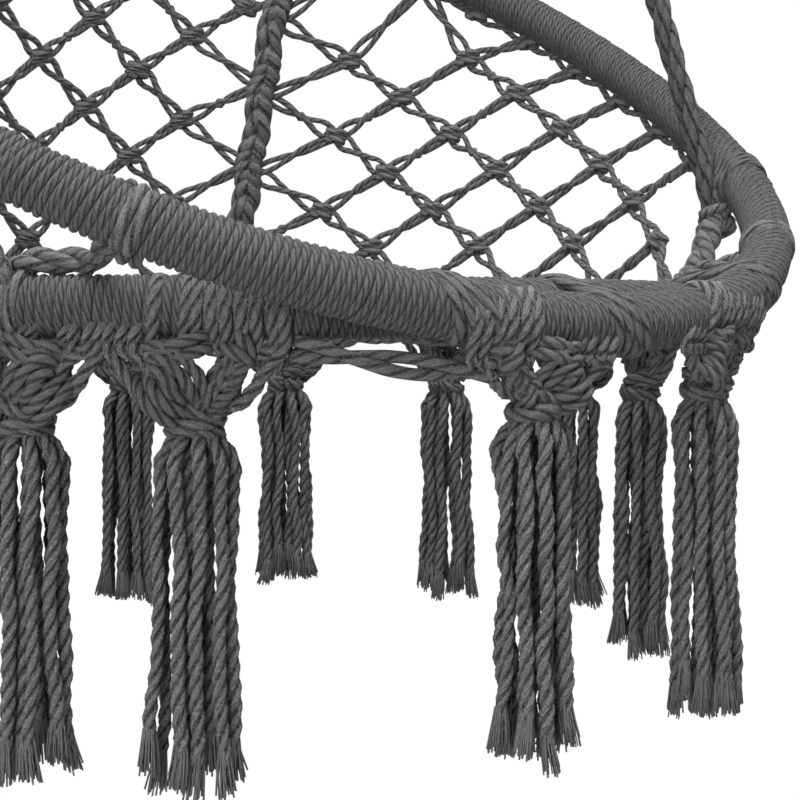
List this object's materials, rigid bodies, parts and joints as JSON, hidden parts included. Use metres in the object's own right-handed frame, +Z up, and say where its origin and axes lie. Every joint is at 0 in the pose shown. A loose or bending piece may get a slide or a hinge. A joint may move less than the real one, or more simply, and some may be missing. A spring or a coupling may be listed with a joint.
{
  "type": "hammock chair",
  "caption": "Hanging macrame chair: two cord-wrapped hoops joined at the front, a knotted net back and seat, hanging tassels, and ropes gathered at a steel ring.",
  "frame": {"origin": "top inside of the hanging ring, where the hook that carries the chair bears", "axes": "+Z up to the ceiling, +X to the right of someone who looks at the chair from its front, -Y the chair's front"},
  "size_m": [0.682, 0.6382, 1.4745],
  "materials": {
    "steel": "plain drawn steel, zinc plated",
    "cover_cotton": "charcoal cotton cord, wound close round the hoops",
    "net_cotton": "charcoal cotton cord, knotted in pairs",
    "rope_cotton": "charcoal cotton rope, laid in strands",
    "tassel_cotton": "charcoal cotton cord, twisted, with frayed ends"
  },
  "bodies": {
    "ring": {"hanging_ring": "steel"},
    "chair": {"seat_hoop_tube": "steel", "back_hoop_tube": "steel", "seat_hoop_cover_front": "cover_cotton", "seat_hoop_cover_right": "cover_cotton", "seat_hoop_cover_rear": "cover_cotton", "seat_hoop_cover_left": "cover_cotton", "back_hoop_cover_front": "cover_cotton", "back_hoop_cover_right": "cover_cotton", "back_hoop_cover_rear": "cover_cotton", "back_hoop_cover_left": "cover_cotton", "front_lashing_left": "cover_cotton", "front_lashing_middle": "cover_cotton", "front_lashing_right": "cover_cotton", "back_net_rear": "net_cotton", "back_net_right": "net_cotton", "back_net_left": "net_cotton", "seat_net": "net_cotton", "rope_front_right": "rope_cotton", "rope_front_left": "rope_cotton", "rope_rear_right": "rope_cotton", "rope_rear_left": "rope_cotton", "hitch_front_right": "rope_cotton", "hitch_front_left": "rope_cotton", "hitch_rear_right": "rope_cotton", "hitch_rear_left": "rope_cotton", "sennit_front_right": "net_cotton", "sennit_front_left": "net_cotton", "sennit_rear_right": "net_cotton", "sennit_rear_left": "net_cotton", "strap_right": "net_cotton", "strap_left": "net_cotton", "front_swag": "tassel_cotton", "tassel_01": "tassel_cotton", "tassel_02": "tassel_cotton", "tassel_03": "tassel_cotton", "tassel_04": "tassel_cotton", "tassel_05": "tassel_cotton", "tassel_06": "tassel_cotton", "tassel_07": "tassel_cotton", "tassel_08": "tassel_cotton", "tassel_09": "tassel_cotton", "tassel_10": "tassel_cotton", "tassel_11": "tassel_cotton", "tassel_12": "tassel_cotton", "tassel_13": "tassel_cotton", "tassel_14": "tassel_cotton", "crown_loop": "rope_cotton", "crown_whipping": "cover_cotton"}
  },
  "joints": [
    {"name": "swing", "type": "hinge", "parent": "ring", "child": "chair", "pos_m": [0, 0, -0.0555], "axis": [1, 0, 0], "range_deg": [-30, 30]}
  ]
}
